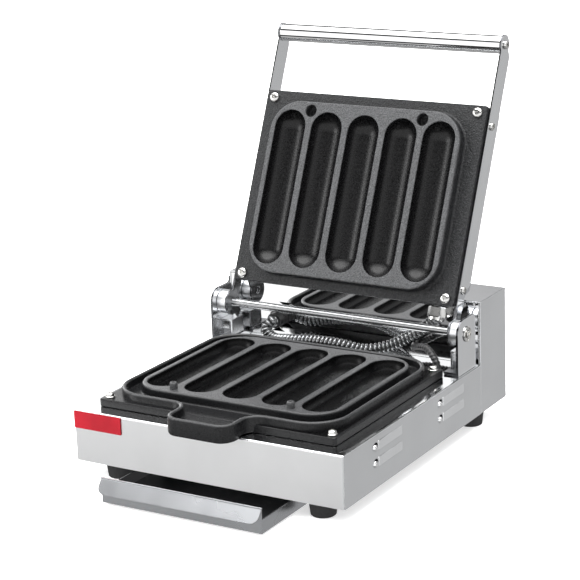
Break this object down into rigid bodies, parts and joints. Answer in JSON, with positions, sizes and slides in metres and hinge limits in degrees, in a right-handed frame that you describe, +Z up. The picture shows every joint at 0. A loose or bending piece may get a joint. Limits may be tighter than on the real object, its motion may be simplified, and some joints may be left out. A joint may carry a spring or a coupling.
{
  "type": "hot dog waffle baker",
  "caption": "Countertop electric waffle baker for hot dogs: a hinged pair of cast plates with oblong cavities on a stainless housing, with a control box behind and a crumb tray below.",
  "frame": {"origin": "middle of the whole machine's footprint, on the surface that its feet stand on, with the lid open as at rest", "axes": "+X to the machine's right as its user faces it, +Y from the front panel towards the rear control box, +Z up"},
  "size_m": [0.2912, 0.4086, 0.3529],
  "materials": {
    "stainless_steel": "bright cold-rolled stainless sheet, faint horizontal grain, softly reflective",
    "polished_steel": "bright mirror-like stainless sheet",
    "satin_black_cast": "cast aluminium or iron plate with a smooth satin black non-stick coating",
    "pebbled_black_cast": "cast plate with a finely pebbled charcoal non-stick coating",
    "chrome": "bright chrome-plated tube and rod",
    "bright_nickel": "nickel-plated fasteners",
    "dark_steel": "plain dark steel, dull",
    "black_rubber": "matte black rubber",
    "black_plastic": "fine-grained black thermoplastic",
    "red_label": "plain red plate with a thin bright edge, no text",
    "red_rocker": "translucent red rocker",
    "green_lens": "green lamp lens",
    "amber_lens": "amber lamp lens",
    "conduit_steel": "spiral-wound galvanised steel conduit",
    "braided_sleeve": "dark braided heat-resistant sleeve"
  },
  "bodies": {
    "base": {"base_housing": "stainless_steel", "hinge_bracket_left": "stainless_steel", "hinge_bracket_right": "stainless_steel", "lid_stop_left": "stainless_steel", "lid_stop_right": "stainless_steel", "rear_box_shell": "stainless_steel", "rear_box_back_cover": "stainless_steel", "rear_box_front_wall": "polished_steel", "hinge_bush_left": "polished_steel", "hinge_bush_right": "polished_steel", "bottom_cover": "dark_steel", "tray_runner_left": "dark_steel", "tray_runner_right": "dark_steel", "lower_heating_element": "dark_steel", "lower_heater_clamp": "dark_steel", "thermostat_body": "dark_steel", "foot_front_left": "black_rubber", "foot_front_right": "black_rubber", "foot_rear_left": "black_rubber", "foot_rear_right": "black_rubber", "badge_plate": "red_label", "lower_plate": "satin_black_cast", "locating_pin_left": "satin_black_cast", "locating_pin_right": "satin_black_cast", "lower_plate_screw_front_left": "bright_nickel", "lower_plate_screw_front_right": "bright_nickel", "lower_plate_screw_rear_left": "bright_nickel", "lower_plate_screw_rear_right": "bright_nickel", "hinge_bolt_left": "bright_nickel", "hinge_bolt_right": "bright_nickel", "timer_body": "black_plastic", "power_inlet": "black_plastic", "switch_frame": "black_plastic", "conduit_gland": "black_plastic", "power_lamp": "green_lens", "heating_lamp": "amber_lens", "power_conduit": "conduit_steel", "sensor_lead": "braided_sleeve"},
    "lid": {"upper_plate": "pebbled_black_cast", "upper_plate_screw_top_left": "bright_nickel", "upper_plate_screw_top_right": "bright_nickel", "upper_plate_screw_bottom_left": "bright_nickel", "upper_plate_screw_bottom_right": "bright_nickel", "upper_heating_element": "dark_steel", "upper_heater_clamp": "dark_steel", "lid_cover": "stainless_steel", "lid_arm_left": "stainless_steel", "lid_arm_right": "stainless_steel", "lid_handle": "chrome", "handle_screw_left": "bright_nickel", "handle_screw_right": "bright_nickel", "arm_screw_top_left": "bright_nickel", "arm_screw_top_right": "bright_nickel", "arm_screw_bottom_left": "bright_nickel", "arm_screw_bottom_right": "bright_nickel", "hinge_rod": "chrome"},
    "tray": {"crumb_tray": "stainless_steel"},
    "thermostat_knob": {"thermostat_knob": "black_plastic"},
    "timer_knob": {"timer_knob": "black_plastic"},
    "rocker": {"power_rocker": "red_rocker"}
  },
  "joints": [
    {"name": "lid_hinge", "type": "hinge", "parent": "base", "child": "lid", "pos_m": [0.00765, 0.08216, 0.099], "axis": [1, 0, 0], "range_deg": [0, 114.3], "deforming": ["power_conduit"]},
    {"name": "tray_slide", "type": "slide", "parent": "base", "child": "tray", "axis": [0, -1, 0], "range_m": [-0.041, 0.17]},
    {"name": "thermostat_knob_turn", "type": "hinge", "parent": "base", "child": "thermostat_knob", "pos_m": [-0.12785, 0.13146, 0.094], "axis": [1, 0, 0], "range_deg": [0, 270]},
    {"name": "timer_knob_turn", "type": "hinge", "parent": "base", "child": "timer_knob", "pos_m": [-0.12785, 0.13146, 0.048], "axis": [1, 0, 0], "range_deg": [0, 300]},
    {"name": "power_rocker_tilt", "type": "hinge", "parent": "base", "child": "rocker", "pos_m": [0.07765, 0.15646, 0.058], "axis": [1, 0, 0], "range_deg": [-14, 0]}
  ]
}
